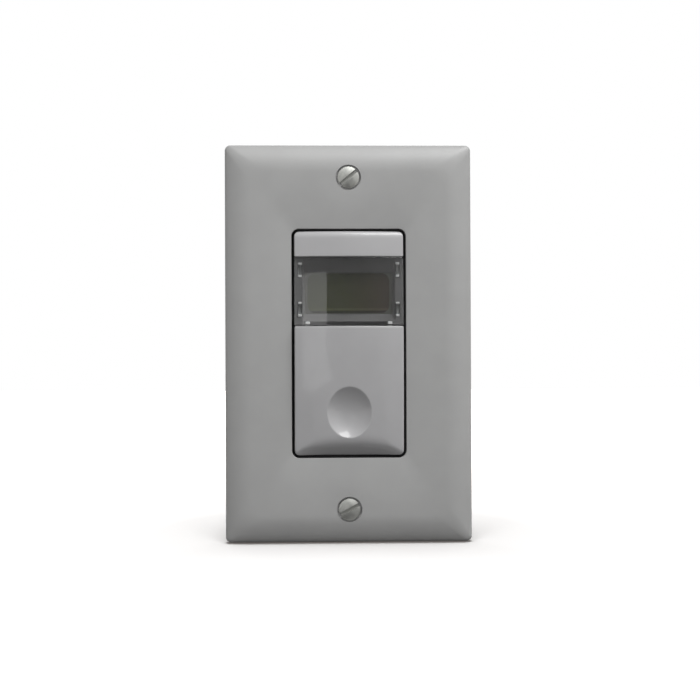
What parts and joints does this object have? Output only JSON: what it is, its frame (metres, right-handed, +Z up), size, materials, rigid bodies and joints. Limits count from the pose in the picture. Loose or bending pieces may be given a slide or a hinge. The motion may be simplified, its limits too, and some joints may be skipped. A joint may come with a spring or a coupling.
{
  "type": "timer light switch",
  "caption": "Wall-mounted digital timer light switch with a blank display window, a large dimpled on/off button, a wall plate, a mounting strap and a rear housing with relay and terminals.",
  "frame": {"origin": "on the wall surface, midway between the two box screws, at the middle of the device", "axes": "+Z up the wall, -Y out of the wall towards the user, +Y into the wall box, +X to the user's right"},
  "size_m": [0.072, 0.043, 0.116],
  "materials": {
    "grey_plate": "smooth moulded grey plastic, semi-gloss",
    "grey_face": "smooth moulded grey plastic, semi-gloss",
    "nickel_screw": "nickel-plated steel",
    "zinc_strap": "zinc-plated steel sheet",
    "zinc_screw": "zinc-plated steel",
    "fibre": "pressed fibre",
    "green_screw": "green-dyed plated steel",
    "black_moulding": "black moulded plastic, fine texture",
    "smoky_clear": "smoky clear moulded plastic",
    "dark_frame": "dark grey moulded plastic",
    "lcd_film": "dark olive polarising film",
    "lcd_glass": "clear glass",
    "light_guide": "milky white light guide",
    "zebra_rubber": "silicone rubber with carbon layers",
    "spring_steel": "bright spring wire",
    "circuit_board": "green solder mask",
    "switch_body": "black moulded plastic",
    "ivory_plastic": "ivory moulded plastic",
    "option_red": "red moulded plastic",
    "chip_black": "black moulding compound",
    "pin_brass": "plated brass",
    "terminal_brass": "plain brass",
    "relay_plastic": "dark blue moulded plastic",
    "copper_winding": "enamelled copper wire, wound",
    "relay_iron": "nickel-plated soft iron",
    "film_yellow": "yellow moulded case",
    "electrolytic_blue": "dark blue sleeve",
    "varistor_blue": "blue dipped coating"
  },
  "bodies": {
    "switch_base": {"wall_plate": "grey_plate", "plate_screws": "nickel_screw", "mounting_strap": "zinc_strap", "box_screws": "zinc_screw", "screw_retainers": "fibre", "ground_screw": "green_screw", "front_chassis": "black_moulding", "header_cap": "grey_face", "display_window": "smoky_clear", "lcd_frame": "dark_frame", "lcd_polariser": "lcd_film", "lcd_glass": "lcd_glass", "lcd_backlight": "light_guide", "zebra_strips": "zebra_rubber", "button_springs": "spring_steel", "control_board": "circuit_board", "board_screws": "zinc_screw", "on_off_switch": "switch_body", "adjust_switches": "switch_body", "option_switch": "option_red", "microcontroller": "chip_black", "buzzer": "chip_black", "link_headers": "chip_black", "link_pins": "pin_brass", "rear_housing": "black_moulding", "housing_screws": "zinc_screw", "power_board": "circuit_board", "power_board_screws": "zinc_screw", "terminal_plates": "terminal_brass", "terminal_screws": "terminal_brass", "relay_base": "relay_plastic", "relay_cover": "relay_plastic", "relay_coil": "copper_winding", "relay_yoke": "relay_iron", "relay_contact": "terminal_brass", "film_capacitor": "film_yellow", "electrolytic_capacitor": "electrolytic_blue", "varistor": "varistor_blue", "supply_fuse": "ivory_plastic"},
    "button": {"on_off_button": "grey_face"},
    "plunger": {"switch_plunger": "ivory_plastic"},
    "hour_key": {"hour_plunger": "ivory_plastic"},
    "minute_key": {"minute_plunger": "ivory_plastic"},
    "option_1": {"option_slider_1": "ivory_plastic"},
    "option_2": {"option_slider_2": "ivory_plastic"},
    "option_3": {"option_slider_3": "ivory_plastic"},
    "option_4": {"option_slider_4": "ivory_plastic"},
    "armature": {"relay_armature": "relay_iron"}
  },
  "joints": [
    {"name": "button_press", "type": "hinge", "parent": "switch_base", "child": "button", "pos_m": [0, -0.0024, 0.00195], "axis": [1, 0, 0], "range_deg": [0, 2.2], "stiffness_Nm_per_rad": 1.2, "deforming": ["button_springs"]},
    {"name": "plunger_press", "type": "slide", "parent": "switch_base", "child": "plunger", "axis": [0, 1, 0], "range_m": [0, 0.00085]},
    {"name": "hour_press", "type": "slide", "parent": "switch_base", "child": "hour_key", "axis": [0, 1, 0], "range_m": [0, 0.00025], "stiffness_N_per_m": 4000},
    {"name": "minute_press", "type": "slide", "parent": "switch_base", "child": "minute_key", "axis": [0, 1, 0], "range_m": [0, 0.00025], "stiffness_N_per_m": 4000},
    {"name": "option_1_slide", "type": "slide", "parent": "switch_base", "child": "option_1", "axis": [0, 0, 1], "range_m": [0, 0.0018]},
    {"name": "option_2_slide", "type": "slide", "parent": "switch_base", "child": "option_2", "axis": [0, 0, 1], "range_m": [0, 0.0018]},
    {"name": "option_3_slide", "type": "slide", "parent": "switch_base", "child": "option_3", "axis": [0, 0, 1], "range_m": [0, 0.0018]},
    {"name": "option_4_slide", "type": "slide", "parent": "switch_base", "child": "option_4", "axis": [0, 0, 1], "range_m": [0, 0.0018]},
    {"name": "armature_pull", "type": "hinge", "parent": "switch_base", "child": "armature", "pos_m": [-0.0094, 0.018, -0.0026], "axis": [1, 0, 0], "range_deg": [0, 3.2], "stiffness_Nm_per_rad": 0.05}
  ],
  "couplings": [
    {"joint": "plunger_press", "follows": "button_press", "m_per_rad": 0.02195}
  ]
}
